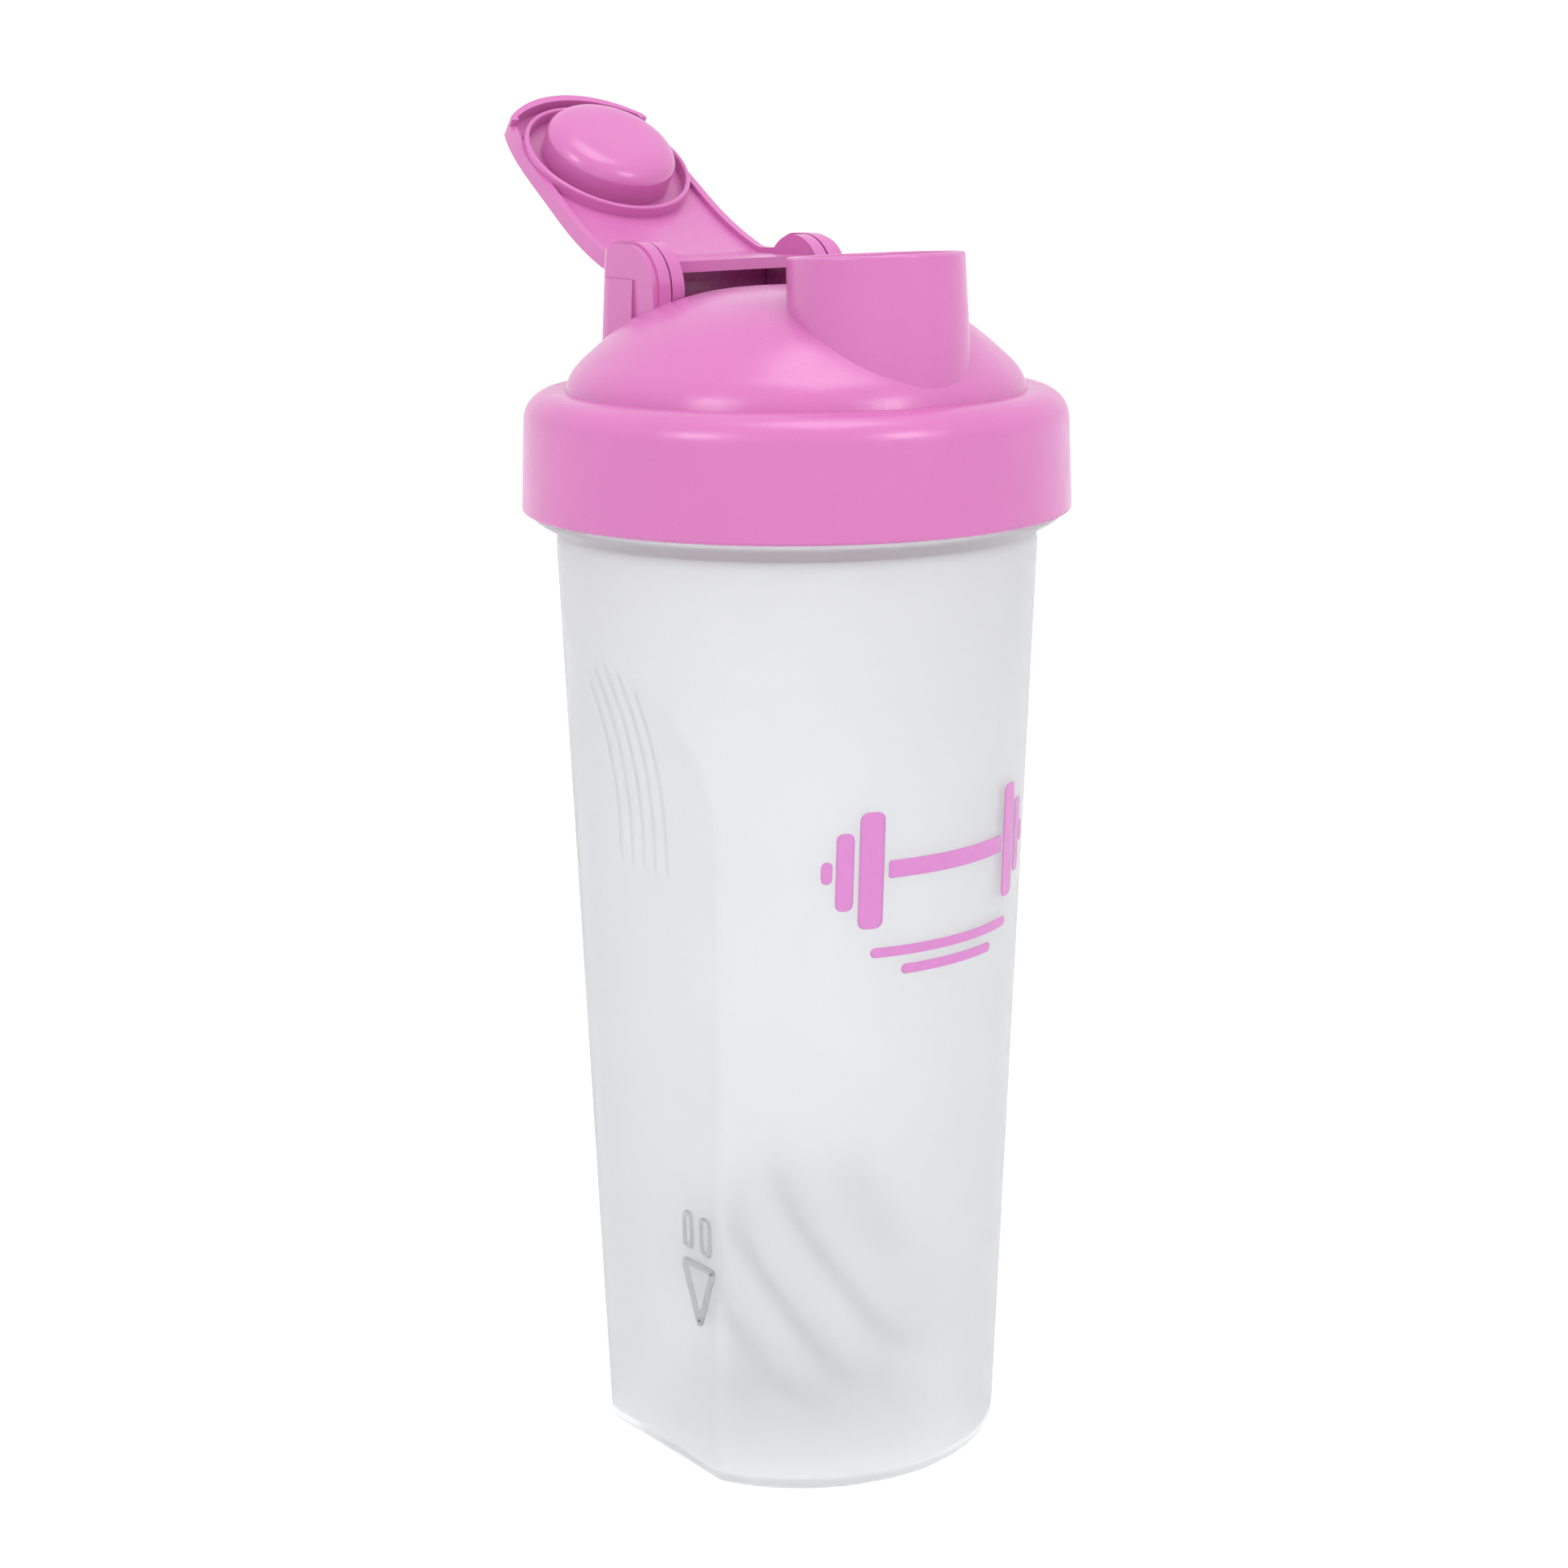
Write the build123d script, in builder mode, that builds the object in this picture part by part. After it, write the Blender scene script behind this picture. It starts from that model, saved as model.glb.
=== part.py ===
from build123d import *
from math import cos, pi, radians, sin, sqrt, tan
import os

# Protein shaker bottle, in millimetres. The origin is the centre of the cup's foot on the surface it
# stands on, +Z is up and +X is the side of the spout. The flip cap is modelled fully open.

# Cutting shapes
overcut = 2.0               # how far they pass the faces they cut
cutter_reach = 60.0         # longer than any piece they cross

# Cup
cup_base_radius = 36.45     # outer cone, taken down to the foot
cup_taper = 0.0411          # growth of the radius per millimetre of height
cup_wall = 1.6
cup_floor = 2.4
cup_foot_fillet = 3.2
foot_recess_radius = 27.0
foot_recess_depth = 0.8
bead_bottom = 172.6         # shoulder bead that the lid stops above
bead_top = 176.0
bead_radius = 47.7
bead_round = 0.7
neck_radius = 44.0
rim_height = 193.4
rim_fillet = 0.5

# Grip flats, one on each side of the cup
flat_azimuths = (-90.0, 90.0)
flat_distance = 32.1        # from the axis, at the foot
flat_lean = 1.26            # degrees outward
flat_top = 118.0            # where the flat starts to run out into the cone
flat_runout_radius = 86.0
flat_runout_sweep = 27.0
flat_edge_fillet = 5.0

# Screw thread between cup and lid: single start, right handed
thread_pitch = 6.0
thread_turns = 1.75
thread_height = 2.4
thread_root_width = 2.2
thread_tip_width = 1.4
thread_sink = 0.4           # how far a thread's root is sunk into its wall
cup_thread_start = 180.0
lid_thread_drop = 2.1       # the lid's thread lies this far under the cup's

# Lid
lid_bottom = 176.1
collar_bottom_radius = 49.5
collar_top_radius = 48.9
collar_top = 197.5
collar_corner_radius = 5.4
collar_bore_radius = 47.0
collar_fillet = 0.6
groove_radius = 41.4
dome_radius = 41.66
dome_spring = 196.5         # height at which the dome's curve would stand upright
dome_apex = 215.3
dome_width_power = 2.7
dome_height_power = 1.37
lid_wall = 1.8
lip_radius = 41.5
lip_bottom = 190.5

# Seal between the cup's rim and the lid
seal_thickness = 1.8
seal_inner_radius = 41.8
seal_outer_radius = 44.4
seal_fillet = 0.4

# Spout
spout_x = 23.1
spout_z = 222.0
spout_lean = 3.0            # degrees towards the hinge
spout_radius = 15.4
spout_draft = 1.5
spout_bore_radius = 13.8
spout_length = 24.0         # down to a foot inside the dome
spout_fillet = 0.6

# Hinge of the flip cap
hinge_x = -21.1
hinge_z = 214.6
tower_inner_y = 18.2
tower_step_y = 20.6         # the tower's front steps back here
tower_outer_y = 21.8
tower_radius = 8.5
tower_outer_slab_radius = 8.0
tower_back_radius = 7.0
tower_depth = 16.0
pedestal_back = -31.6
pedestal_top = 216.4
pedestal_corner = 5.0
pedestal_flare = 3.0        # degrees
pocket_radius = 8.9
pin_radius = 2.5
pin_clearance = 0.05
pin_length = 2.2
pin_hole_depth = 2.0

# Flip cap. Its sketches are drawn closed, from the hinge: x towards the tip, y up
cap_open_angle = 143.0
cap_thickness = 2.0
cap_plug_gap = 0.6          # between the spout's rim and the cap, at the plug's centre
cap_crown_flat = 13.0       # straight stretch behind the plug's centre
cap_crown_radius = 75.0
cap_crown_turn = 13.0
cap_knee_radius = 8.0
cap_knee_turn = 22.0
cap_tail_length = 15.85
cap_tip_reach = 19.0        # from the plug's centre to the tip
cap_tip_radius = 180.0
cap_tip_turn = 7.0
cap_band_reach = 6.0       # how far the tools that hollow the cap reach
cap_ear_half_width = 17.8
cap_ear_thickness = 2.6
cap_ear_radius = 8.4
cap_waist_half_width = 17.1
cap_waist_start = 10.0      # from the hinge
cap_waist_end = 8.0         # short of the plug's centre
cap_tail = 12.0             # behind the hinge, trimmed by the ears
cap_half_span = 25.0        # wider than the flap on each side
cap_shoulder_x = 13.0       # from the plug's centre
cap_shoulder_half_width = 15.2
cap_rail_height = 1.0
cap_rail_width = 1.5
thumb_lip_height = 2.4
thumb_lip_start = 12.0      # from the plug's centre
ring_inner_radius = 15.55
ring_outer_radius = 16.55
ring_height = 2.4
ring_fillet = 0.45

# Stopper pressed into the flip cap
plug_radius = 12.7
plug_wall = 1.5
plug_side_height = 4.6
plug_height = 7.8
plug_root_radius = 13.4
plug_root_sink = 0.8
plug_fillet = 0.8
plug_dome_tangents = ((-0.35, -1), (-1, 0))

# Mixing ball: one stainless wire wound as a spiral on a sphere
ball_radius = 23.4          # to the middle of the wire
wire_radius = 1.15
ball_pitch = 10.6
ball_turns = 4.0
ball_steps_per_turn = 12
ball_axis = (0.500, 0.673, 0.545)
ball_floor_gap = 0.05

os.makedirs("parts", exist_ok=True)

spout_axis = Vector(-sin(radians(spout_lean)), 0, cos(radians(spout_lean)))
spout_rim = Vector(spout_x, 0, spout_z)
spout_foot = spout_rim - spout_axis * spout_length
spout_foot_plane = Plane(origin=spout_foot, x_dir=(0, 1, 0), z_dir=spout_axis)
seal_top = rim_height + seal_thickness
lid_thread_start = cup_thread_start - lid_thread_drop
tower_top = hinge_z + tower_radius
tower_slabs = (
    (tower_inner_y, tower_step_y, tower_radius),
    (tower_step_y, tower_outer_y, tower_outer_slab_radius),
)

hinge = Vector(hinge_x, 0, hinge_z)
cap_x = Vector(cos(radians(cap_open_angle)), 0, sin(radians(cap_open_angle)))
cap_up = Vector(-sin(radians(cap_open_angle)), 0, cos(radians(cap_open_angle)))
cap_side = Plane(origin=hinge, x_dir=cap_x, z_dir=(0, -1, 0))
cap_top = Plane(origin=hinge, x_dir=cap_x, z_dir=cap_up)

# Plug's centre on the cap's face, in the cap's own frame, and the directions there
plug_u = (spout_rim - hinge).X - cap_plug_gap * sin(radians(spout_lean))
plug_v = (spout_rim - hinge).Z + cap_plug_gap * cos(radians(spout_lean))
plug_centre = hinge + cap_x * plug_u + cap_up * plug_v
plug_forward = cap_x * cos(radians(spout_lean)) + cap_up * sin(radians(spout_lean))
plug_up = cap_up * cos(radians(spout_lean)) - cap_x * sin(radians(spout_lean))
plug_face = Plane(origin=plug_centre, x_dir=plug_forward, z_dir=-plug_up)
plug_section = Plane(origin=plug_centre, x_dir=plug_forward, z_dir=(0, -1, 0))


def cone_radius(height):
    """Outer radius of the cup's cone at a height."""
    return cup_base_radius + cup_taper * height


def dome_height(radius, inset=0.0):
    """Height of the dome at a radius; a positive inset gives its inner face."""
    share = max(0.0, 1 - (radius / (dome_radius - inset)) ** dome_width_power)
    return dome_spring + (dome_apex - inset - dome_spring) * share ** (1 / dome_height_power)


def dome_points(last_radius, inset=0.0):
    """Points on the dome from the axis out to a radius."""
    shares = (0.0, 0.3, 0.55, 0.75, 0.9, 1.0)
    return [(share * last_radius, dome_height(share * last_radius, inset)) for share in shares]


def flat_plane(azimuth):
    """Plane through the cup's axis with x outward across a flat and y up."""
    outward = (cos(radians(azimuth)), sin(radians(azimuth)), 0)
    return Plane(origin=(0, 0, 0), x_dir=outward, z_dir=(outward[1], -outward[0], 0))


def beyond_flat(azimuth, inset):
    """Section of the space outside a flat, with the flat moved towards the axis by inset."""
    lean = radians(flat_lean)
    turn = (
        flat_distance + flat_top * tan(lean) - inset * cos(lean),
        flat_top + inset * sin(lean),
    )
    below = (turn[0] - (turn[1] + 5) * tan(lean), -5)
    with BuildSketch(flat_plane(azimuth)) as section:
        with BuildLine():
            Line(below, turn)
            runout = JernArc(turn, (sin(lean), cos(lean)), flat_runout_radius + inset, -flat_runout_sweep)
            top = runout @ 1
            Polyline(top, (70, top.Y), (70, -5), below)
        make_face()
    return section.sketch


def tower_side(front_radius):
    """Side view of a hinge tower, round at the front about the hinge and square behind it."""
    top = hinge_z + front_radius
    bottom = hinge_z - tower_depth
    with BuildSketch() as side_view:
        with BuildLine():
            front = Line((hinge_x + front_radius, bottom), (hinge_x + front_radius, hinge_z))
            crown = JernArc(front @ 1, (0, 1), front_radius, 90)
            ridge = Line(crown @ 1, (pedestal_back + tower_back_radius, top))
            back = JernArc(ridge @ 1, (-1, 0), tower_back_radius, 90)
            Polyline(back @ 1, (pedestal_back - overcut, bottom), front @ 0)
        make_face()
    return side_view.sketch


def thread_ridge(root_radius, tip_radius, start_height):
    """One helical thread, its root sunk into the wall at root_radius."""
    outward = 1 if tip_radius > root_radius else -1
    root_x = -outward * thread_sink
    tip_x = tip_radius - root_radius
    with BuildPart() as ridge:
        with BuildLine():
            path = Helix(
                thread_pitch, thread_pitch * thread_turns, root_radius, center=(0, 0, start_height)
            )
        with BuildSketch(Plane(origin=path @ 0, x_dir=(1, 0, 0), z_dir=path % 0)):
            Polygon(
                (root_x, -thread_root_width / 2),
                (tip_x, -thread_tip_width / 2),
                (tip_x, thread_tip_width / 2),
                (root_x, thread_root_width / 2),
                align=None,
            )
        sweep(path=path, is_frenet=True)
    return ridge.part


def cap_chain(offset):
    """Draw the cap's side view at a distance above its plug face, from tail to tip; return its ends."""
    slope = radians(spout_lean)
    centre = (plug_u - offset * sin(slope), plug_v + offset * cos(slope))
    back = (-cos(slope), -sin(slope))
    flat = Line(centre, (centre[0] + cap_crown_flat * back[0], centre[1] + cap_crown_flat * back[1]))
    crown = JernArc(flat @ 1, back, cap_crown_radius + offset, cap_crown_turn)
    knee = JernArc(crown @ 1, crown % 1, cap_knee_radius + offset, cap_knee_turn)
    tail = Line(knee @ 1, (knee @ 1) + (knee % 1) * cap_tail_length)
    tip = JernArc(centre, (cos(slope), sin(slope)), cap_tip_radius + offset, -cap_tip_turn)
    return tail @ 1, tip @ 1


def cap_band(low, high):
    """The cap's side view between two distances from its plug face."""
    with BuildSketch(cap_side) as band:
        with BuildLine():
            low_tail, low_tip = cap_chain(low)
            high_tail, high_tip = cap_chain(high)
            Line(low_tail, high_tail)
            Line(low_tip, high_tip)
        make_face()
    return band.sketch


def cap_outline(inset):
    """The cap's outline from above, drawn in by inset."""
    ear_y = cap_ear_half_width - inset
    shoulder = (plug_u + cap_shoulder_x, cap_shoulder_half_width - inset)
    tip = (plug_u + cap_tip_reach - inset, 0)
    tip_depth = tip[0] - shoulder[0]
    tip_radius = (shoulder[1] ** 2 + tip_depth**2) / (2 * tip_depth)
    with BuildSketch(cap_top.offset(-30)) as outline:
        with BuildLine():
            Polyline((-cap_tail, 0), (-cap_tail, ear_y), (cap_waist_start, ear_y))
            Spline(
                (cap_waist_start, ear_y),
                (plug_u - cap_waist_end, cap_waist_half_width - inset),
                shoulder,
                tangents=((1, 0), (1, -0.3)),
            )
            RadiusArc(shoulder, tip, tip_radius)
            mirror(about=Plane.XZ)
        make_face()
    return outline.sketch


# Cup ---------------------------------------------------------------------------------------------

with BuildPart() as cup_inside:
    with BuildSketch(Plane.XZ):
        top = rim_height + overcut
        Polygon(
            (0, cup_floor),
            (cone_radius(cup_floor) - cup_wall, cup_floor),
            (cone_radius(top) - cup_wall, top),
            (0, top),
            align=None,
        )
    revolve(axis=Axis.Z)
    for azimuth in flat_azimuths:
        extrude(beyond_flat(azimuth, cup_wall), amount=cutter_reach, both=True, mode=Mode.SUBTRACT)

with BuildPart() as cup:
    with BuildSketch(Plane.XZ):
        Polygon(
            (0, 0),
            (cup_base_radius, 0),
            (cone_radius(bead_bottom), bead_bottom),
            (bead_radius - bead_round, bead_top - 2 * bead_round),
            (bead_radius, bead_top - bead_round),
            (bead_radius, bead_top),
            (neck_radius, bead_top),
            (neck_radius, rim_height),
            (0, rim_height),
            align=None,
        )
    revolve(axis=Axis.Z)
    for azimuth in flat_azimuths:
        extrude(beyond_flat(azimuth, 0), amount=cutter_reach, both=True, mode=Mode.SUBTRACT)
    flat_edges = cup.edges().filter_by(GeomType.HYPERBOLA) + cup.edges().filter_by(GeomType.BSPLINE)
    fillet(flat_edges, radius=flat_edge_fillet)
    fillet(cup.edges().group_by(Axis.Z)[0], radius=cup_foot_fillet)
    with BuildSketch(Plane.XY):
        Circle(foot_recess_radius)
    extrude(amount=foot_recess_depth, taper=45, mode=Mode.SUBTRACT)
    add(cup_inside.part, mode=Mode.SUBTRACT)
    fillet(cup.edges().group_by(Axis.Z)[-1], radius=rim_fillet)
    add(thread_ridge(neck_radius, neck_radius + thread_height, cup_thread_start))

# Lid ---------------------------------------------------------------------------------------------

with BuildPart() as hinge_pocket_shell:
    with BuildSketch(Plane.XZ.offset(-tower_step_y)):
        with Locations((hinge_x, hinge_z)):
            Circle(pocket_radius + lid_wall)
    extrude(amount=2 * tower_step_y)

with BuildPart() as hinge_block:
    with BuildSketch(Plane(origin=(0, 0, tower_top), x_dir=(1, 0, 0), z_dir=(0, 0, -1))):
        with BuildLine():
            front = (hinge_x + tower_radius, tower_outer_y)
            side_end = (pedestal_back + pedestal_corner, tower_outer_y)
            back_end = (pedestal_back, tower_outer_y - pedestal_corner)
            Line(front, side_end)
            RadiusArc(side_end, back_end, -pedestal_corner)
            Line(back_end, (pedestal_back, 0))
            Line((front[0], 0), front)
            mirror(about=Plane.XZ)
        make_face()
    extrude(amount=tower_radius + tower_depth, taper=-pedestal_flare)

with BuildPart() as hinge_pedestal:
    with BuildSketch(Plane.XZ):
        with Locations(((pedestal_back + hinge_x) / 2, pedestal_top - tower_depth / 2)):
            Rectangle(hinge_x - pedestal_back + 2 * overcut, tower_depth)
    extrude(amount=tower_outer_y + overcut, both=True)
    add(hinge_block.part, mode=Mode.INTERSECT)

with BuildPart() as hinge_towers:
    for inner_y, outer_y, radius in tower_slabs:
        for side in (-1, 1):
            with BuildSketch(Plane.XZ.offset(-side * inner_y)):
                add(tower_side(radius))
            extrude(amount=-side * (outer_y - inner_y))
    add(hinge_block.part, mode=Mode.INTERSECT)

with BuildPart() as lid_inside:
    with BuildSketch(Plane.XZ):
        with BuildLine():
            wall_radius = dome_radius - lid_wall
            dome_inner = Spline(*dome_points(wall_radius, lid_wall), tangents=((1, 0), (0.3, -1)))
            Polyline(
                dome_inner @ 1,
                (wall_radius, lip_bottom),
                (lip_radius, lip_bottom),
                (lip_radius, seal_top),
                (collar_bore_radius, seal_top),
                (collar_bore_radius, lid_bottom - 1),
                (0, lid_bottom - 1),
                dome_inner @ 0,
            )
        make_face()
    revolve(axis=Axis.Z)
    add(hinge_pocket_shell.part, mode=Mode.SUBTRACT)

with BuildPart() as lid:
    # collar and dome
    with BuildSketch(Plane.XZ):
        with BuildLine():
            dome_outer = Spline(*dome_points(groove_radius), tangents=((1, 0), (0.25, -1)))
            shoulder_inner = (collar_top_radius - collar_corner_radius, collar_top)
            Line(dome_outer @ 1, shoulder_inner)
            corner = JernArc(shoulder_inner, (1, 0), collar_corner_radius, -88)
            Polyline(corner @ 1, (collar_bottom_radius, lid_bottom), (0, lid_bottom), dome_outer @ 0)
        make_face()
    revolve(axis=Axis.Z)

    # wall behind the hinge, then the two towers
    add(hinge_pedestal.part)
    add(hinge_towers.part)

    # spout
    with BuildSketch(spout_foot_plane):
        Circle(spout_radius + spout_length * tan(radians(spout_draft)))
    extrude(amount=spout_length, taper=spout_draft)

    # insides, the pocket the cap's ears turn in, and the blind holes of its pins
    add(lid_inside.part, mode=Mode.SUBTRACT)
    with BuildSketch(Plane.XZ.offset(-tower_inner_y)):
        with Locations((hinge_x, hinge_z)):
            Circle(pocket_radius)
        with Locations((hinge_x, hinge_z + pocket_radius)):
            Rectangle(2 * pocket_radius, 2 * pocket_radius)
    extrude(amount=2 * tower_inner_y, mode=Mode.SUBTRACT)
    with BuildSketch(Plane.XZ.offset(-tower_inner_y - pin_hole_depth)):
        with Locations((hinge_x, hinge_z)):
            Circle(pin_radius + pin_clearance)
    extrude(amount=2 * (tower_inner_y + pin_hole_depth), mode=Mode.SUBTRACT)
    with BuildSketch(spout_foot_plane):
        Circle(spout_bore_radius)
    extrude(amount=spout_length + 1, mode=Mode.SUBTRACT)
    circles = lid.edges().filter_by(GeomType.CIRCLE)
    fillet(circles.filter_by(lambda edge: edge.arc_center.X > 5).sort_by(Axis.Z)[-2:], radius=spout_fillet)
    fillet(lid.edges().filter_by(GeomType.CIRCLE).sort_by(SortBy.RADIUS)[-1], radius=collar_fillet)
    add(thread_ridge(collar_bore_radius, collar_bore_radius - thread_height, lid_thread_start))

# Seal --------------------------------------------------------------------------------------------

with BuildPart() as lid_seal:
    with BuildSketch(Plane.XY.offset(rim_height)):
        Circle(seal_outer_radius)
        Circle(seal_inner_radius, mode=Mode.SUBTRACT)
    extrude(amount=seal_thickness)
    fillet(lid_seal.edges(), radius=seal_fillet)

# Flip cap and its stopper --------------------------------------------------------------------------

with BuildPart() as cap_recess:
    extrude(cap_band(-cap_band_reach, 0), amount=cap_half_span, both=True)
    extrude(cap_outline(cap_rail_width), amount=cutter_reach, mode=Mode.INTERSECT)

with BuildPart() as cap_rail_trim:
    extrude(cap_band(-cap_band_reach, -cap_rail_height), amount=cap_half_span, both=True)
    with BuildSketch(cap_side):
        with Locations((plug_u + thumb_lip_start - cutter_reach, 0)):
            Rectangle(2 * cutter_reach, 2 * cutter_reach)
    extrude(amount=cap_half_span, both=True, mode=Mode.INTERSECT)

with BuildPart() as flip_cap:
    extrude(cap_band(-thumb_lip_height, cap_thickness), amount=cap_half_span, both=True)
    extrude(cap_outline(0), amount=cutter_reach, mode=Mode.INTERSECT)
    add(cap_recess.part, mode=Mode.SUBTRACT)
    add(cap_rail_trim.part, mode=Mode.SUBTRACT)

    # ears and the stub pins that turn in the towers
    for side in (-1, 1):
        with BuildSketch(cap_side.offset(side * (cap_ear_half_width - cap_ear_thickness))):
            Circle(cap_ear_radius)
        extrude(amount=side * cap_ear_thickness)
        with BuildSketch(cap_side.offset(side * cap_ear_half_width)):
            Circle(pin_radius)
        extrude(amount=side * pin_length)

    # ring that closes round the spout's rim, its flat floor, and the seat of the stopper
    with BuildSketch(plug_face.offset(-cap_thickness / 2)):
        Circle(ring_outer_radius)
    extrude(amount=ring_height + cap_thickness / 2)
    with BuildSketch(plug_face):
        Circle(ring_inner_radius)
    extrude(amount=ring_height, mode=Mode.SUBTRACT)
    with BuildSketch(plug_face):
        Circle(plug_root_radius)
    extrude(amount=-plug_root_sink, mode=Mode.SUBTRACT)
    between = (plug_root_radius + ring_inner_radius) / 2
    ring_edges = flip_cap.edges().filter_by(GeomType.CIRCLE).filter_by(lambda edge: edge.radius > between)
    fillet(ring_edges.sort_by(Axis(plug_centre, -plug_up))[-2:], radius=ring_fillet)

with BuildPart() as spout_plug:
    with BuildSketch(plug_section):
        with BuildLine():
            foot_inner = (plug_radius - plug_wall, plug_root_sink)
            Polyline(
                foot_inner,
                (plug_root_radius, plug_root_sink),
                (plug_root_radius, 0),
                (plug_radius, 0),
                (plug_radius, -plug_side_height),
            )
            Spline((plug_radius, -plug_side_height), (0, -plug_height), tangents=plug_dome_tangents)
            Line((0, -plug_height), (0, plug_wall - plug_height))
            Spline(
                (plug_radius - plug_wall, plug_wall / 2 - plug_side_height),
                (0, plug_wall - plug_height),
                tangents=plug_dome_tangents,
            )
            Line((plug_radius - plug_wall, plug_wall / 2 - plug_side_height), foot_inner)
        make_face()
    revolve(axis=Axis(plug_centre, plug_up))
    between = (plug_radius + plug_root_radius) / 2
    shoulder = spout_plug.edges().filter_by(GeomType.CIRCLE).filter_by(lambda edge: edge.radius < between)
    fillet(shoulder.sort_by(Axis(plug_centre, -plug_up))[-1], radius=plug_fillet)

# Mixing ball ---------------------------------------------------------------------------------------

ball_centre = (0, 0, cup_floor + ball_floor_gap + ball_radius + wire_radius)
ball_plane = Plane(origin=ball_centre, x_dir=(ball_axis[1], -ball_axis[0], 0), z_dir=ball_axis)
ball_length = ball_pitch * ball_turns
ball_steps = int(ball_turns * ball_steps_per_turn)
wire_points = []
for step in range(ball_steps + 1):
    along = (step / ball_steps - 0.5) * ball_length
    out = sqrt(ball_radius**2 - along**2)
    turn = 2 * pi * step / ball_steps_per_turn
    wire_points.append(ball_plane.from_local_coords((out * cos(turn), out * sin(turn), along)))
bend_radii = []
for before, corner, after in zip(wire_points, wire_points[1:], wire_points[2:]):
    turn = radians((corner - before).get_angle(after - corner))
    run = min((corner - before).length, (after - corner).length)
    bend_radii.append(0.45 * run / tan(turn / 2))

with BuildPart() as mixing_ball:
    with BuildLine():
        wire = FilletPolyline(*wire_points, radius=bend_radii)
    with BuildSketch(Plane(origin=wire @ 0, z_dir=wire % 0)):
        Circle(wire_radius)
    sweep(path=wire)

pieces = {
    "cup": cup,
    "lid": lid,
    "lid_seal": lid_seal,
    "flip_cap": flip_cap,
    "spout_plug": spout_plug,
    "mixing_ball": mixing_ball,
}
for name, piece in pieces.items():
    piece.part.label = name
    export_step(piece.part, f"parts/{name}.step")
    print(name, piece.part.is_valid, round(piece.part.volume), len(piece.part.solids()))
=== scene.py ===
import math

import bpy
from mathutils import Matrix, Vector


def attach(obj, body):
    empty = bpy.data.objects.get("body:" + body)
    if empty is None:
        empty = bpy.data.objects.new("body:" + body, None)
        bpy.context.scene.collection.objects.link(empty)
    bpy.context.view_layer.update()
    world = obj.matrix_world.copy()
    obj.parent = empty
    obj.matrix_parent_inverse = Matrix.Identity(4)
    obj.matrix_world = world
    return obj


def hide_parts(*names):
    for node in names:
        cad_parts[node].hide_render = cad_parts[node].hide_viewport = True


# Protein shaker bottle. Places and sizes are in millimetres in the CAD's frame: the origin is the middle of
# the cup's foot, +Z is up and +X is the side of the spout. Azimuths run from +X towards +Y, in degrees.

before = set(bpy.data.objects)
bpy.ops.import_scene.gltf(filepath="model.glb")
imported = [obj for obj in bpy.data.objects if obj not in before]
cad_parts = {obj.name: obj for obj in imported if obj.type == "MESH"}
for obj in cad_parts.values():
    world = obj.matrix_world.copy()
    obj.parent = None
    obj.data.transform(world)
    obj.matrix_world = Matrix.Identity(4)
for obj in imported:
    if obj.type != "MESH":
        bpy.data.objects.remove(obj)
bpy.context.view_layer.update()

MM = 0.001
WHITE = (1.0, 1.0, 1.0)

# Camera
CAMERA_DISTANCE = 560.0        # level distance from the cup's axis
CAMERA_SIDE = 53.4             # degrees from -Y round towards +X
CAMERA_HEIGHT = 254.4
CAMERA_TILT = 13.07            # degrees down
CAMERA_YAW = 0.27              # degrees, aims a little left of the axis
CAMERA_ROLL = -0.379
CAMERA_LENS = 71.53
CAMERA_SENSOR = 36.0

# Studio: a white room with a white table that is lit from below
SKY_STRENGTH = 1.02
TABLE_HALF_SIZE = 40000.0
TABLE_COLOUR = (0.12, 0.12, 0.12)
TABLE_GLOW = 0.98
TABLE_ROUGHNESS = 0.9
LAMP_AIM = (0, 0, 150)

# Cup wall
CUP_HEIGHT = 193.4
CUP_BASE_RADIUS = 36.45
CUP_TAPER = 0.0411             # growth of the radius with height
CUP_WALL = 1.6
CUP_FLOOR = 2.4
CUP_FLOOR_CORNER = 1.0
FOOT_FILLET = 3.2
FOOT_RECESS_RADIUS = 27.0
FOOT_RECESS_DEPTH = 0.8
NECK_RADIUS = 44.0
RIM_ROUND = 0.5
EDGE_LOOP = 0.1                # extra rows this close to an edge keep it crisp under smooth shading

# Bead under the neck: how far it stands out of the wall, at heights above its foot
BEAD_BOTTOM = 172.6
BEAD_ROOT_RADIUS = 43.54
BEAD_OUTLINE = (
    (-0.3, -0.3),
    (0.2, 0.05),
    (3.4, 1.9),
    (3.85, 2.25),
    (4.1, 2.7),
    (4.16, 3.25),
    (4.05, 3.4),
)
BEAD_HEIGHT = 3.4

# Grip flats
FLAT_AZIMUTHS = (-90.0, 90.0)
FLAT_DISTANCE = 32.1
FLAT_LEAN = math.radians(1.26)
FLAT_TOP = 118.0               # the flat runs out into the cone above this
FLAT_RUNOUT_RADIUS = 86.0
FLAT_EDGE_BLEND = 0.8

# Grip ribs moulded at the top of each flat
RIB_EDGE = 2                   # ribs on each side of the middle one
RIB_PITCH = 3.6
RIB_HALF_WIDTH = 1.0
RIB_HEIGHT = 0.3
RIB_FOOT = 111.0
RIB_FOOT_FADE = 6.0
RIB_TOP = 153.0
RIB_TOP_DROP = 4.5             # how much lower the outer ribs end than the middle one
RIB_TOP_FADE = 1.6

# Screw thread on the neck
THREAD_START = 180.0
THREAD_PITCH = 6.0
THREAD_TURNS = 1.75
THREAD_HEIGHT = 2.4
THREAD_ROOT_HALF = 1.1
THREAD_TIP_HALF = 0.7

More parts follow.
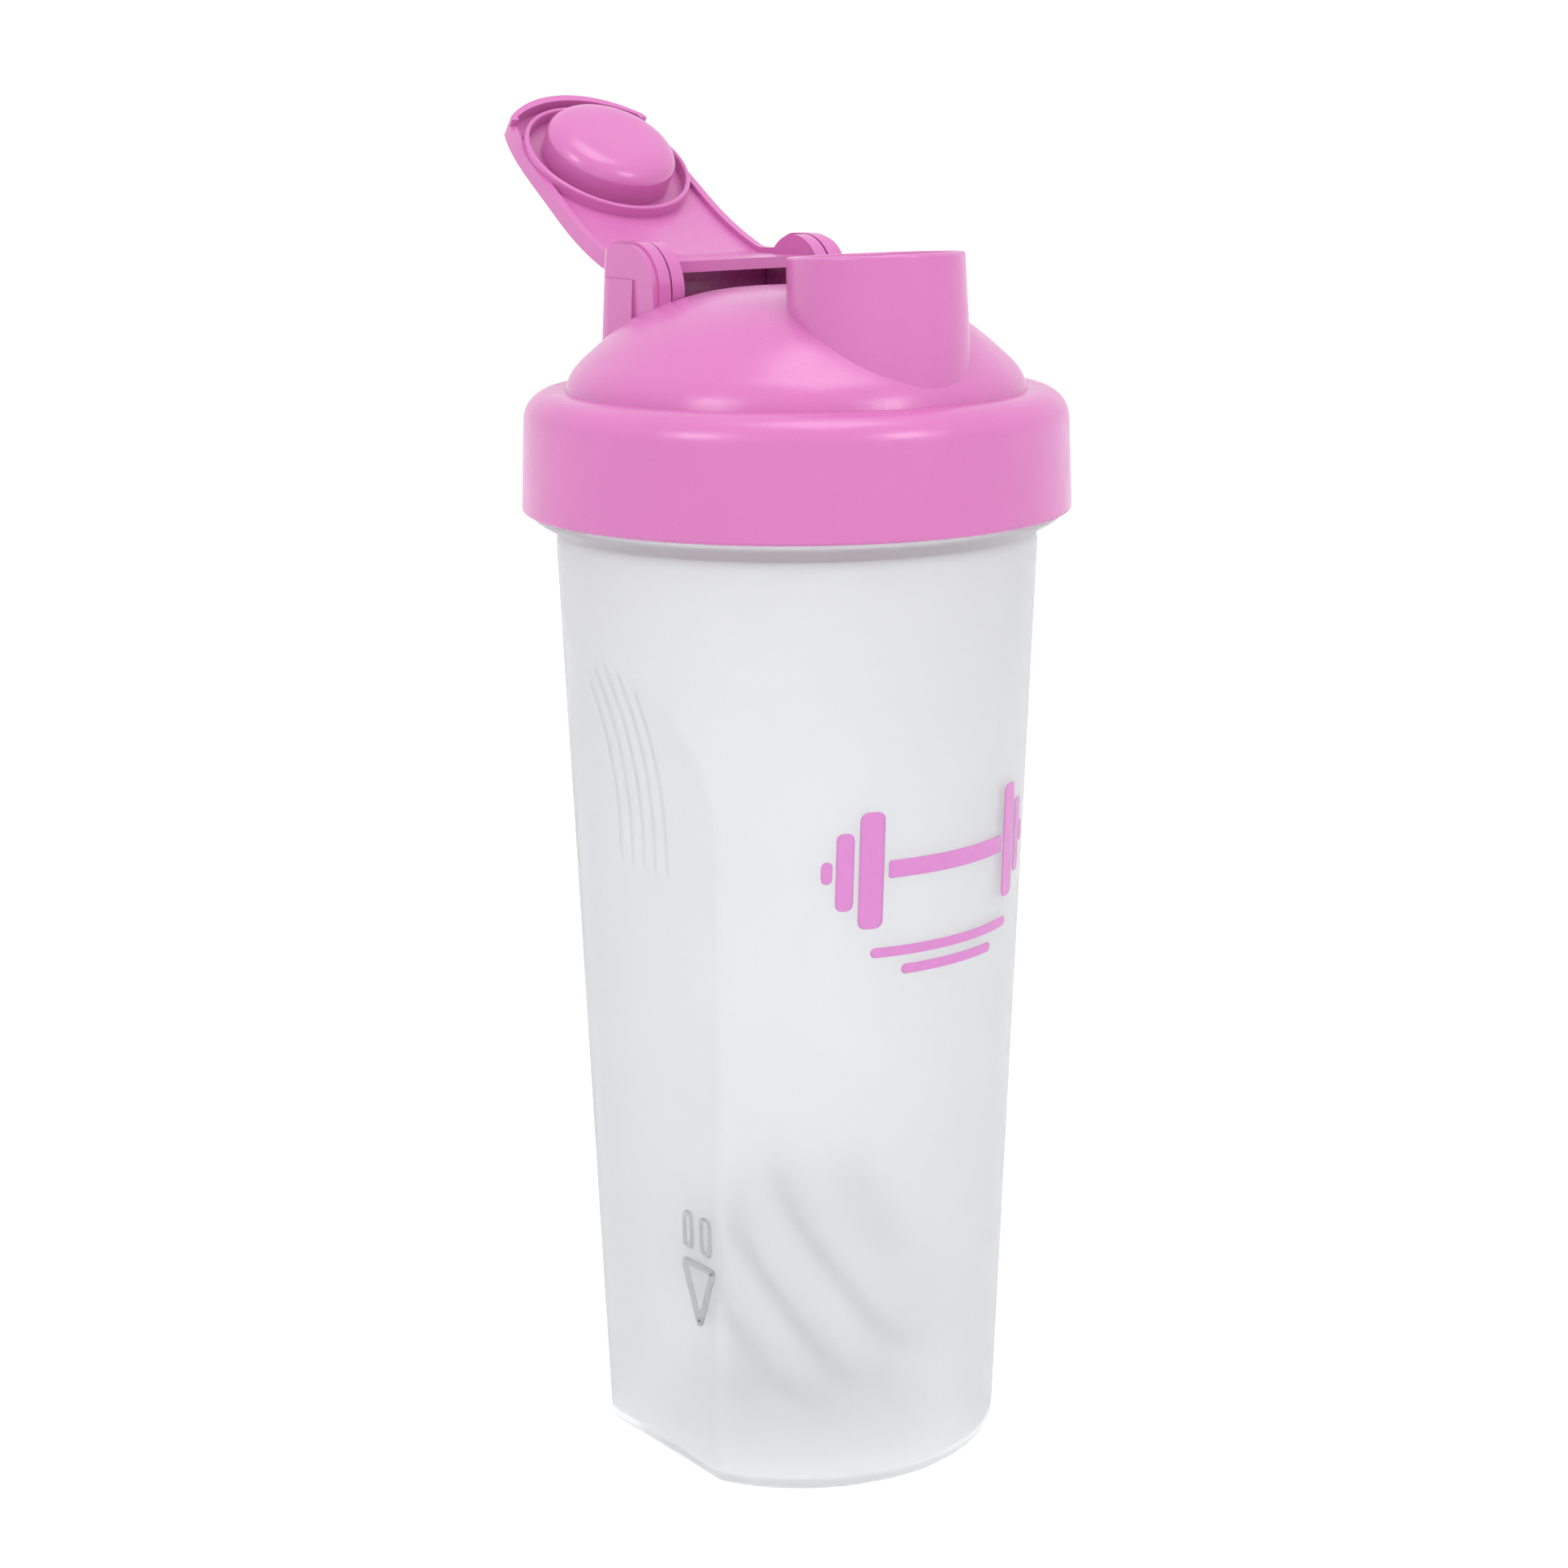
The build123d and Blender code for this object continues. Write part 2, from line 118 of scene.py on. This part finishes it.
# Spacing of the cup's rows, in millimetres, and columns, in degrees
ROW_WALL = 2.1
ROW_RIBS = 0.52
ROW_SHOULDER = 2.2
ROW_THREAD = 0.42
ROW_INNER_NECK = 8.0
ROW_INNER_RUNOUT = 1.6
ROW_INNER_WALL = 5.0
RUNOUT_FOOT = 114.0            # just below the end of the straight flat
RUNOUT_TOP = 159.0             # just above the highest rib
FOOT_FILLET_STEP = math.pi / 16
RIM_ROUND_STEP = math.pi / 6
COLUMNS_FROM_FLAT = ((90, 2.0), (50, 1.0), (16, 0.5))  # out to this azimuth, spaced by this

# Wire ball
BALL_RADIUS = 23.4
WIRE_RADIUS = 1.15
WIRE_SIDES = 14
BALL_PITCH = 10.6
BALL_TURNS = 4.0
BALL_STEPS_PER_TURN = 80
BALL_AXIS = Vector((0.500, 0.673, 0.545)).normalized()
BALL_CENTRE = Vector((0, 0, 27.0))
WIRE_END_TURNS = (math.pi / 2.2, math.pi / 3.2, math.pi / 7)  # rings of a domed end

# Polished outlines on the front flat, as (x, z) corners
MARK_STEP = 0.5
MARK_SIDES = 10
MARK_SOFTNESS = 3              # smoothing passes over the corners
MARK_RADIUS = 0.45
TRIANGLE_RADIUS = 0.65
LEFT_OVAL = ((9.4, 45.0), (11.6, 45.0), (11.6, 51.4), (9.4, 51.4))
RIGHT_OVAL = ((14.6, 45.0), (17.2, 45.0), (17.2, 51.4), (14.6, 51.4))
TRIANGLE = ((13.4, 30.5), (18.0, 42.0), (9.0, 42.0))

# Print on the front of the cup: a dumbbell and two lines under it. Each bar has its place along the cup's
# girth, its height above the print's middle, its width, height and corner radius.
PRINT_AZIMUTH = 5.0
PRINT_HEIGHT = 118.0
PRINT_PROUD = 0.06
PRINT_SINK = 0.05
PRINT_ROW = 1.0
PRINT_COLUMN = 0.8
PRINT_FEWEST_CELLS = 6
HANDLE = (0, 0, 28.0, 3.2, 0.4)
PLATE = (17.2, 0, 4.6, 21.0, 1.4)
SMALL_PLATE = (22.0, 0, 3.2, 14.0, 1.2)
BAR_END = (25.2, 0, 2.0, 4.0, 0.8)
UPPER_LINE = (0, -15.0, 34.0, 1.8, 0.85)
LOWER_LINE = (0, -18.5, 22.0, 1.8, 0.85)

# Noise values between these carry a material's change from one limit to the other
NOISE_LOW = 0.3
NOISE_HIGH = 0.7


# Shape of the cup --------------------------------------------------------------------------------


def smooth_min(a, b, blend):
    overlap = max(blend - abs(a - b), 0) / blend
    return min(a, b) - overlap * overlap * blend / 4


def ease(value):
    """0 to 1 with soft ends."""
    value = min(max(value, 0), 1)
    return value * value * (3 - 2 * value)


def flat_reach(z):
    """Distance of a grip flat from the cup's axis: straight, then running out on a concave arc."""
    if z <= FLAT_TOP:
        return FLAT_DISTANCE + z * math.tan(FLAT_LEAN)
    turn_x = FLAT_DISTANCE + FLAT_TOP * math.tan(FLAT_LEAN)
    centre_x = turn_x + FLAT_RUNOUT_RADIUS * math.cos(FLAT_LEAN)
    centre_z = FLAT_TOP - FLAT_RUNOUT_RADIUS * math.sin(FLAT_LEAN)
    return centre_x - math.sqrt(max(FLAT_RUNOUT_RADIUS**2 - (z - centre_z) ** 2, 0))


def wall_radius(azimuth, z, inset=0.0):
    """Radius of the cup's wall, its flats blended into the cone."""
    radius = CUP_BASE_RADIUS + CUP_TAPER * z - inset
    for flat in FLAT_AZIMUTHS:
        turn = math.cos(math.radians(azimuth - flat))
        if turn > 0:
            radius = smooth_min(radius, (flat_reach(z) - inset) / turn, FLAT_EDGE_BLEND)
    return radius


def rib_relief(azimuth, z):
    """How far the grip ribs stand out of a flat."""
    if not RIB_FOOT < z < RIB_TOP + RIB_TOP_FADE:
        return 0.0
    for flat in FLAT_AZIMUTHS:
        turn = math.radians(azimuth - flat)
        across = flat_reach(z) * math.tan(turn)
        nearest = round(across / RIB_PITCH)
        off = abs(across - nearest * RIB_PITCH) / RIB_HALF_WIDTH
        if math.cos(turn) > 0 and abs(nearest) <= RIB_EDGE and off < 1:
            top = RIB_TOP - RIB_TOP_DROP * (nearest / RIB_EDGE) ** 2
            fade = ease((z - RIB_FOOT) / RIB_FOOT_FADE) * ease((top - z) / RIB_TOP_FADE)
            return RIB_HEIGHT * math.cos(off * math.pi / 2) ** 2 * fade
    return 0.0


def thread_relief(azimuth, z):
    """How far the screw thread stands out of the neck."""
    relief = 0.0
    share = (azimuth % 360) / 360
    for turn in (share, share + 1):
        if turn <= THREAD_TURNS:
            off = abs(z - THREAD_START - THREAD_PITCH * turn)
            slope = (THREAD_ROOT_HALF - off) / (THREAD_ROOT_HALF - THREAD_TIP_HALF)
            relief = max(relief, THREAD_HEIGHT * min(max(slope, 0), 1))
    return relief


def steps(start, end, size):
    """Evenly spaced values from start to end, about size apart, without the end."""
    count = max(round(abs(end - start) / size), 1)
    return [start + (end - start) * i / count for i in range(count)]


def column_azimuths():
    """Azimuths round the cup, closest together across the flats."""
    far, middle, near = COLUMNS_FROM_FLAT
    half_turn = [
        *steps(-far[0], -middle[0], far[1]),
        *steps(-middle[0], -near[0], middle[1]),
        *steps(-near[0], near[0], near[1]),
        *steps(near[0], middle[0], middle[1]),
        *steps(middle[0], far[0], far[1]),
    ]
    return [flat + azimuth for flat in FLAT_AZIMUTHS for azimuth in half_turn]


def cup_rows():
    """The cup's section from the middle of the foot, up the outside, over the rim and down to the floor.
    Each row is its height and a function from azimuth to radius."""

    def ring(radius):
        return lambda azimuth: radius

    def outer(z, inset=0.0):
        return lambda azimuth: wall_radius(azimuth, z) + rib_relief(azimuth, z) - inset

    def inner(z, inset=0.0):
        return lambda azimuth: wall_radius(azimuth, z, CUP_WALL) - inset

    def neck(z):
        return lambda azimuth: NECK_RADIUS + thread_relief(azimuth, z)

    def foot():
        recess_top = FOOT_RECESS_RADIUS - FOOT_RECESS_DEPTH
        yield FOOT_RECESS_DEPTH, ring(recess_top / 2)
        yield FOOT_RECESS_DEPTH, ring(recess_top - 2 * EDGE_LOOP)
        yield FOOT_RECESS_DEPTH - EDGE_LOOP, ring(recess_top + EDGE_LOOP)
        yield EDGE_LOOP, ring(FOOT_RECESS_RADIUS - EDGE_LOOP)
        yield 0.0, ring(FOOT_RECESS_RADIUS + 2 * EDGE_LOOP)
        for turn in steps(0, math.pi / 2, FOOT_FILLET_STEP):
            z = FOOT_FILLET * (1 - math.cos(turn))
            yield z, outer(z, FOOT_FILLET * (1 - math.sin(turn)))

    def outside():
        for z in steps(FOOT_FILLET, RIB_FOOT, ROW_WALL) + steps(RIB_FOOT, RUNOUT_TOP, ROW_RIBS):
            yield z, outer(z)
        for z in steps(RUNOUT_TOP, BEAD_BOTTOM - 4 * EDGE_LOOP, ROW_SHOULDER):
            yield z, outer(z)
        for reach, rise in BEAD_OUTLINE:
            yield BEAD_BOTTOM + rise, ring(BEAD_ROOT_RADIUS + reach)
        bead_top = BEAD_BOTTOM + BEAD_HEIGHT
        yield bead_top, ring(NECK_RADIUS + 2 * EDGE_LOOP)
        yield bead_top + 2 * EDGE_LOOP, ring(NECK_RADIUS)
        thread_low = THREAD_START - THREAD_ROOT_HALF - 3 * EDGE_LOOP
        for z in steps(thread_low, CUP_HEIGHT - RIM_ROUND, ROW_THREAD):
            yield z, neck(z)

    def rim():
        for turn in steps(0, math.pi / 2, RIM_ROUND_STEP):
            z = CUP_HEIGHT - RIM_ROUND * (1 - math.sin(turn))
            yield z, ring(NECK_RADIUS - RIM_ROUND * (1 - math.cos(turn)))
        for turn in steps(math.pi / 2, 0, RIM_ROUND_STEP):
            z = CUP_HEIGHT - RIM_ROUND * (1 - math.sin(turn))
            yield z, inner(z, -RIM_ROUND * (1 - math.cos(turn)))

    def inside():
        for z in steps(CUP_HEIGHT - RIM_ROUND, RUNOUT_TOP, ROW_INNER_NECK):
            yield z, inner(z)
        for z in steps(RUNOUT_TOP, RUNOUT_FOOT, ROW_INNER_RUNOUT):
            yield z, inner(z)
        for z in steps(RUNOUT_FOOT, CUP_FLOOR + CUP_FLOOR_CORNER, ROW_INNER_WALL):
            yield z, inner(z)
        corner_step = 3 * EDGE_LOOP
        yield CUP_FLOOR + CUP_FLOOR_CORNER, inner(CUP_FLOOR)
        yield CUP_FLOOR + corner_step, inner(CUP_FLOOR, corner_step)
        yield CUP_FLOOR, inner(CUP_FLOOR, CUP_FLOOR_CORNER)
        yield CUP_FLOOR, ring(FOOT_RECESS_RADIUS / 2)

    return [*foot(), *outside(), *rim(), *inside()]


# Pieces ------------------------------------------------------------------------------------------


def make_piece(name, points, faces, material, body, slot):
    """One smooth mesh that moves with a CAD body and takes the given material; slot is not used."""
    mesh = bpy.data.meshes.new(name)
    mesh.from_pydata([Vector(point) * MM for point in points], [], faces)
    mesh.polygons.foreach_set("use_smooth", [True] * len(faces))
    mesh.materials.append(material)
    mesh.update()
    piece = bpy.data.objects.new(name, mesh)
    bpy.context.scene.collection.objects.link(piece)
    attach(piece, body)
    return piece


def around(azimuth, radius, z):
    """The point at an azimuth in radians, a radius and a height."""
    return (radius * math.cos(azimuth), radius * math.sin(azimuth), z)


def add_cup(material):
    azimuths = column_azimuths()
    rows = cup_rows()
    columns = len(azimuths)
    points = [
        around(math.radians(azimuth), radius(azimuth), z) for z, radius in rows for azimuth in azimuths
    ]
    faces = []
    for row in range(len(rows) - 1):
        for column in range(columns):
            after = (column + 1) % columns
            low, high = row * columns, (row + 1) * columns
            faces.append((low + column, low + after, high + after, high + column))
    last = len(rows) - 1
    for row, faces_up in ((0, False), (last, True)):
        middle = len(points)
        points.append((0, 0, rows[row][0]))
        for column in range(columns):
            edge = (row * columns + column, row * columns + (column + 1) % columns)
            faces.append((*edge, middle) if faces_up else (*reversed(edge), middle))
    piece = make_piece("cup_shell", points, faces, material, "cup", "cup_plastic")
    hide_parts("cup")


def tube(path, radius, sides, closed=False):
    """Points and faces of a round wire along a path, its ends domed unless it is closed."""
    count = len(path)

    def along(i):
        if closed:
            return (path[(i + 1) % count] - path[i - 1]).normalized()
        return (path[min(i + 1, count - 1)] - path[max(i - 1, 0)]).normalized()

    rings = [(path[i], along(i), radius) for i in range(count)]
    if not closed:
        first, last = along(0), along(count - 1)
        dome = [(radius * math.sin(turn), radius * math.cos(turn)) for turn in WIRE_END_TURNS]
        start = [(path[0] - first * rise, first, shrunk) for rise, shrunk in dome]
        end = [(path[-1] + last * rise, last, shrunk) for rise, shrunk in reversed(dome)]
        rings = start + rings + end
    points, faces = [], []
    across = rings[0][1].orthogonal().normalized()
    for centre, direction, ring_radius in rings:
        across = (across - direction * across.dot(direction)).normalized()
        up = direction.cross(across)
        for side in range(sides):
            turn = 2 * math.pi * side / sides
            points.append(centre + (across * math.cos(turn) + up * math.sin(turn)) * ring_radius)
    spans = len(rings) if closed else len(rings) - 1
    for ring in range(spans):
        low, high = ring * sides, (ring + 1) % len(rings) * sides
        for side in range(sides):
            after = (side + 1) % sides
            faces.append((low + side, low + after, high + after, high + side))
    if not closed:
        faces.append(tuple(reversed(range(sides))))
        faces.append(tuple(range((len(rings) - 1) * sides, len(rings) * sides)))
    return points, faces


def add_ball(material):
    """One wire wound as a spiral on a sphere."""
    across = Vector((BALL_AXIS.y, -BALL_AXIS.x, 0)).normalized()
    up = BALL_AXIS.cross(across)
    path = []
    count = round(BALL_TURNS * BALL_STEPS_PER_TURN)
    for i in range(count + 1):
        turn = BALL_TURNS * i / count
        rise = BALL_PITCH * (turn - BALL_TURNS / 2)
        radius = math.sqrt(BALL_RADIUS**2 - rise**2)
        angle = 2 * math.pi * turn
        outward = across * math.cos(angle) + up * math.sin(angle)
        path.append(BALL_CENTRE + BALL_AXIS * rise + outward * radius)
    wire = tube(path, WIRE_RADIUS, WIRE_SIDES)
    piece = make_piece("wire_ball", *wire, material, "mixing_ball", "wire_steel")
    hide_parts("mixing_ball")


def add_mark(name, corners, material, radius=MARK_RADIUS):
    """A raised polished line moulded on the front flat round an outline of (x, z) corners."""
    outline = []
    for (x, z), (next_x, next_z) in zip(corners, (*corners[1:], corners[0])):
        count = max(round(math.hypot(next_x - x, next_z - z) / MARK_STEP), 1)
        for step in range(count):
            share = step / count
            outline.append(Vector((x + (next_x - x) * share, z + (next_z - z) * share)))
    for _ in range(MARK_SOFTNESS):
        after = (*outline[1:], outline[0])
        outline = [(outline[i - 1] + 2 * outline[i] + after[i]) / 4 for i in range(len(outline))]
    path = [Vector((x, -flat_reach(z), z)) for x, z in outline]
    make_piece(name, *tube(path, radius, MARK_SIDES, closed=True), material, "cup", "cup_plastic")


def add_print_bar(name, u, v, width, height, corner, material):
    """A printed rounded bar on the front of the cup, centred u along the cup's girth from the print's
    middle and v above its middle line."""
    rows = max(round(height / PRINT_ROW), PRINT_FEWEST_CELLS)
    columns = max(round(width / PRINT_COLUMN), PRINT_FEWEST_CELLS)
    points, faces = [], []
    for layer in (-PRINT_SINK, PRINT_PROUD):
        for row in range(rows + 1):
            rise = -height / 2 * math.cos(math.pi * row / rows)
            into_corner = max(corner - (height / 2 - abs(rise)), 0)
            half = width / 2 - (corner - math.sqrt(max(corner**2 - into_corner**2, 0)))
            z = PRINT_HEIGHT + v + rise
            radius = wall_radius(PRINT_AZIMUTH, z)
            for column in range(columns + 1):
                along = u + half * (2 * column / columns - 1)
                points.append(around(math.radians(PRINT_AZIMUTH) + along / radius, radius + layer, z))
    line = columns + 1
    layer_size = (rows + 1) * line
    for row in range(rows):
        for column in range(columns):
            start = row * line + column
            quad = (start, start + 1, start + 1 + line, start + line)
            faces.append(tuple(reversed(quad)))
            faces.append(tuple(point + layer_size for point in quad))
    edge = list(range(line))
    edge += [row * line + columns for row in range(1, rows + 1)]
    edge += [rows * line + column for column in range(columns - 1, -1, -1)]
    edge += [row * line for row in range(rows - 1, 0, -1)]
    for point, after in zip(edge, (*edge[1:], edge[0])):
        faces.append((point, after, after + layer_size, point + layer_size))
    make_piece(name, points, faces, material, "cup", "cup_plastic")


def add_print(material):
    add_print_bar("print_handle", *HANDLE, material)
    for side, word in ((-1, "left"), (1, "right")):
        for part, bar in (("plate", PLATE), ("small_plate", SMALL_PLATE), ("end", BAR_END)):
            add_print_bar(f"print_{word}_{part}", side * bar[0], *bar[1:], material)
    add_print_bar("print_line_upper", *UPPER_LINE, material)
    add_print_bar("print_line_lower", *LOWER_LINE, material)


# Materials ---------------------------------------------------------------------------------------


class Surface:
    """A Principled material whose colour, roughness and height all carry fine procedural detail."""

    def __init__(self, name, colour, roughness):
        self.material = bpy.data.materials.new(name)
        self.material.use_nodes = True
        self.tree = self.material.node_tree
        self.shader = self.tree.nodes["Principled BSDF"]
        self.coords = self.tree.nodes.new("ShaderNodeTexCoord")
        self.colour = colour
        self.roughness = roughness

    def set(self, **values):
        for socket, value in values.items():
            self.shader.inputs[socket.replace("_", " ")].default_value = value
        return self

    def noise(self, size, detail=3.0):
        """Noise with features about size millimetres wide."""
        texture = self.tree.nodes.new("ShaderNodeTexNoise")
        texture.inputs["Scale"].default_value = 1 / (size * MM)
        texture.inputs["Detail"].default_value = detail
        self.tree.links.new(self.coords.outputs["Object"], texture.inputs["Vector"])
        return texture.outputs["Fac"]

    def spread(self, source, low, high):
        node = self.tree.nodes.new("ShaderNodeMapRange")
        node.inputs["From Min"].default_value = NOISE_LOW
        node.inputs["From Max"].default_value = NOISE_HIGH
        node.inputs["To Min"].default_value = low
        node.inputs["To Max"].default_value = high
        self.tree.links.new(source, node.inputs["Value"])
        return node.outputs["Result"]

    def tint(self, size, change):
        """Slow change of the colour, a share darker and lighter."""
        mix = self.tree.nodes.new("ShaderNodeMix")
        mix.data_type = "RGBA"
        factor, darker, lighter = mix.inputs[0], mix.inputs[6], mix.inputs[7]
        for socket, share in ((darker, 1 - change), (lighter, 1 + change)):
            socket.default_value = (*(min(channel * share, 1) for channel in self.colour), 1)
        self.tree.links.new(self.spread(self.noise(size), 0, 1), factor)
        self.tree.links.new(mix.outputs[2], self.shader.inputs["Base Color"])
        return self

    def sheen(self, size, change):
        """Change of the roughness."""
        source = self.spread(self.noise(size), self.roughness - change, self.roughness + change)
        self.tree.links.new(source, self.shader.inputs["Roughness"])
        return self

    def grain(self, size, depth):
        """Fine relief, depth millimetres deep."""
        bump = self.tree.nodes.new("ShaderNodeBump")
        bump.inputs["Strength"].default_value = 1.0
        bump.inputs["Distance"].default_value = depth * MM
        self.tree.links.new(self.noise(size, detail=4.0), bump.inputs["Height"])
        self.tree.links.new(bump.outputs["Normal"], self.shader.inputs["Normal"])
        return self


def pink_plastic(name, roughness):
    """Semi-gloss pink polypropylene with the faint orange peel of a moulded part."""
    surface = Surface(name, (0.55, 0.145, 0.40), roughness)
    surface.set(IOR=1.55)
    return surface.tint(14, change=0.02).sheen(5, change=0.04).grain(0.9, depth=0.0005).material


def frosted_plastic():
    """Frosted translucent polypropylene."""
    surface = Surface("cup_frosted", (0.940, 0.947, 0.962), 0.37)
    surface.set(IOR=1.43, Transmission_Weight=0.75)
    return surface.tint(20, change=0.01).sheen(3, change=0.03).grain(0.5, depth=0.002).material


def polished_plastic():
    """The same plastic where the mould is polished."""
    surface = Surface("cup_polished", (0.9, 0.92, 0.95), 0.08)
    surface.set(IOR=1.49, Transmission_Weight=1.0)
    return surface.tint(6, change=0.01).sheen(2, change=0.04).grain(0.8, depth=0.002).material


def printed_ink():
    """Pink screen print."""
    surface = Surface("cup_print", (0.58, 0.20, 0.50), 0.42)
    return surface.tint(2, change=0.03).sheen(1.5, change=0.06).grain(0.35, depth=0.004).material


def silicone():
    """Milky silicone."""
    surface = Surface("seal_silicone", (0.83, 0.84, 0.84), 0.5)
    surface.set(Subsurface_Weight=1.0, Subsurface_Scale=0.003)
    return surface.tint(8, change=0.02).sheen(2, change=0.05).grain(0.4, depth=0.004).material


def drawn_steel():
    """Stainless wire, a little dull from drawing."""
    surface = Surface("wire_steel", (0.33, 0.35, 0.35), 0.24)
    surface.set(Metallic=1.0)
    return surface.tint(9, change=0.03).sheen(1.2, change=0.06).grain(0.25, depth=0.002).material


def finish_node(node, material):
    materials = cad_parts[node].data.materials
    materials.clear()
    materials.append(material)


# Studio ------------------------------------------------------------------------------------------


def from_side(side, distance, height):
    """The place at a level distance from the axis, at a side in degrees from -Y round towards +X."""
    turn = math.radians(side)
    return Vector((math.sin(turn) * distance, -math.cos(turn) * distance, height))


def add_camera():
    data = bpy.data.cameras.new("camera")
    data.lens = CAMERA_LENS
    data.sensor_width = CAMERA_SENSOR
    camera = bpy.data.objects.new("camera", data)
    bpy.context.scene.collection.objects.link(camera)
    turn = (
        Matrix.Rotation(math.radians(CAMERA_SIDE + CAMERA_YAW), 4, "Z")
        @ Matrix.Rotation(math.radians(90 - CAMERA_TILT), 4, "X")
        @ Matrix.Rotation(math.radians(CAMERA_ROLL), 4, "Z")
    )
    place = from_side(CAMERA_SIDE, CAMERA_DISTANCE, CAMERA_HEIGHT)
    camera.matrix_world = Matrix.Translation(place * MM) @ turn
    bpy.context.scene.camera = camera


def add_lamp(name, side, distance, height, size, power):
    """A soft square lamp aimed at the bottle."""
    data = bpy.data.lights.new(name, "AREA")
    data.shape = "SQUARE"
    data.size = size * MM
    data.energy = power
    lamp = bpy.data.objects.new(name, data)
    bpy.context.scene.collection.objects.link(lamp)
    place = from_side(side, distance, height)
    towards = (place - Vector(LAMP_AIM)).to_track_quat("Z", "Y").to_matrix().to_4x4()
    lamp.matrix_world = Matrix.Translation(place * MM) @ towards


def add_table():
    """A white table that glows, so that no shadow shows under the foot."""
    half = TABLE_HALF_SIZE * MM
    mesh = bpy.data.meshes.new("floor")
    corners = [(-half, -half, 0), (half, -half, 0), (half, half, 0), (-half, half, 0)]
    mesh.from_pydata(corners, [], [(0, 1, 2, 3)])
    floor = bpy.data.objects.new("floor", mesh)
    bpy.context.scene.collection.objects.link(floor)
    glow = bpy.data.materials.new("light_table")
    glow.use_nodes = True
    shader = glow.node_tree.nodes["Principled BSDF"]
    shader.inputs["Base Color"].default_value = (*TABLE_COLOUR, 1)
    shader.inputs["Roughness"].default_value = TABLE_ROUGHNESS
    shader.inputs["Emission Color"].default_value = (*WHITE, 1)
    shader.inputs["Emission Strength"].default_value = TABLE_GLOW
    mesh.materials.append(glow)


def add_studio():
    world = bpy.data.worlds.new("studio")
    bpy.context.scene.world = world
    world.use_nodes = True
    sky = world.node_tree.nodes["Background"]
    sky.inputs["Color"].default_value = (*WHITE, 1)
    sky.inputs["Strength"].default_value = SKY_STRENGTH
    bpy.context.scene.view_settings.view_transform = "Standard"
    add_table()
    add_lamp("key_left", side=9.5, distance=900, height=750, size=320, power=2.0)
    add_lamp("key_right", side=102, distance=950, height=700, size=320, power=2.0)
    add_lamp("top_soft", side=100, distance=160, height=1150, size=500, power=2.3)


add_cup(frosted_plastic())
add_ball(drawn_steel())
finish_node("lid", pink_plastic("lid_plastic", 0.27))
finish_node("flip_cap", pink_plastic("cap_plastic", 0.28))
finish_node("spout_plug", pink_plastic("plug_plastic", 0.25))
finish_node("lid_seal", silicone())

polished = polished_plastic()
add_mark("mark_left_oval", LEFT_OVAL, polished)
add_mark("mark_right_oval", RIGHT_OVAL, polished)
add_mark("mark_triangle", TRIANGLE, polished, TRIANGLE_RADIUS)
add_print(printed_ink())

add_camera()
add_studio()
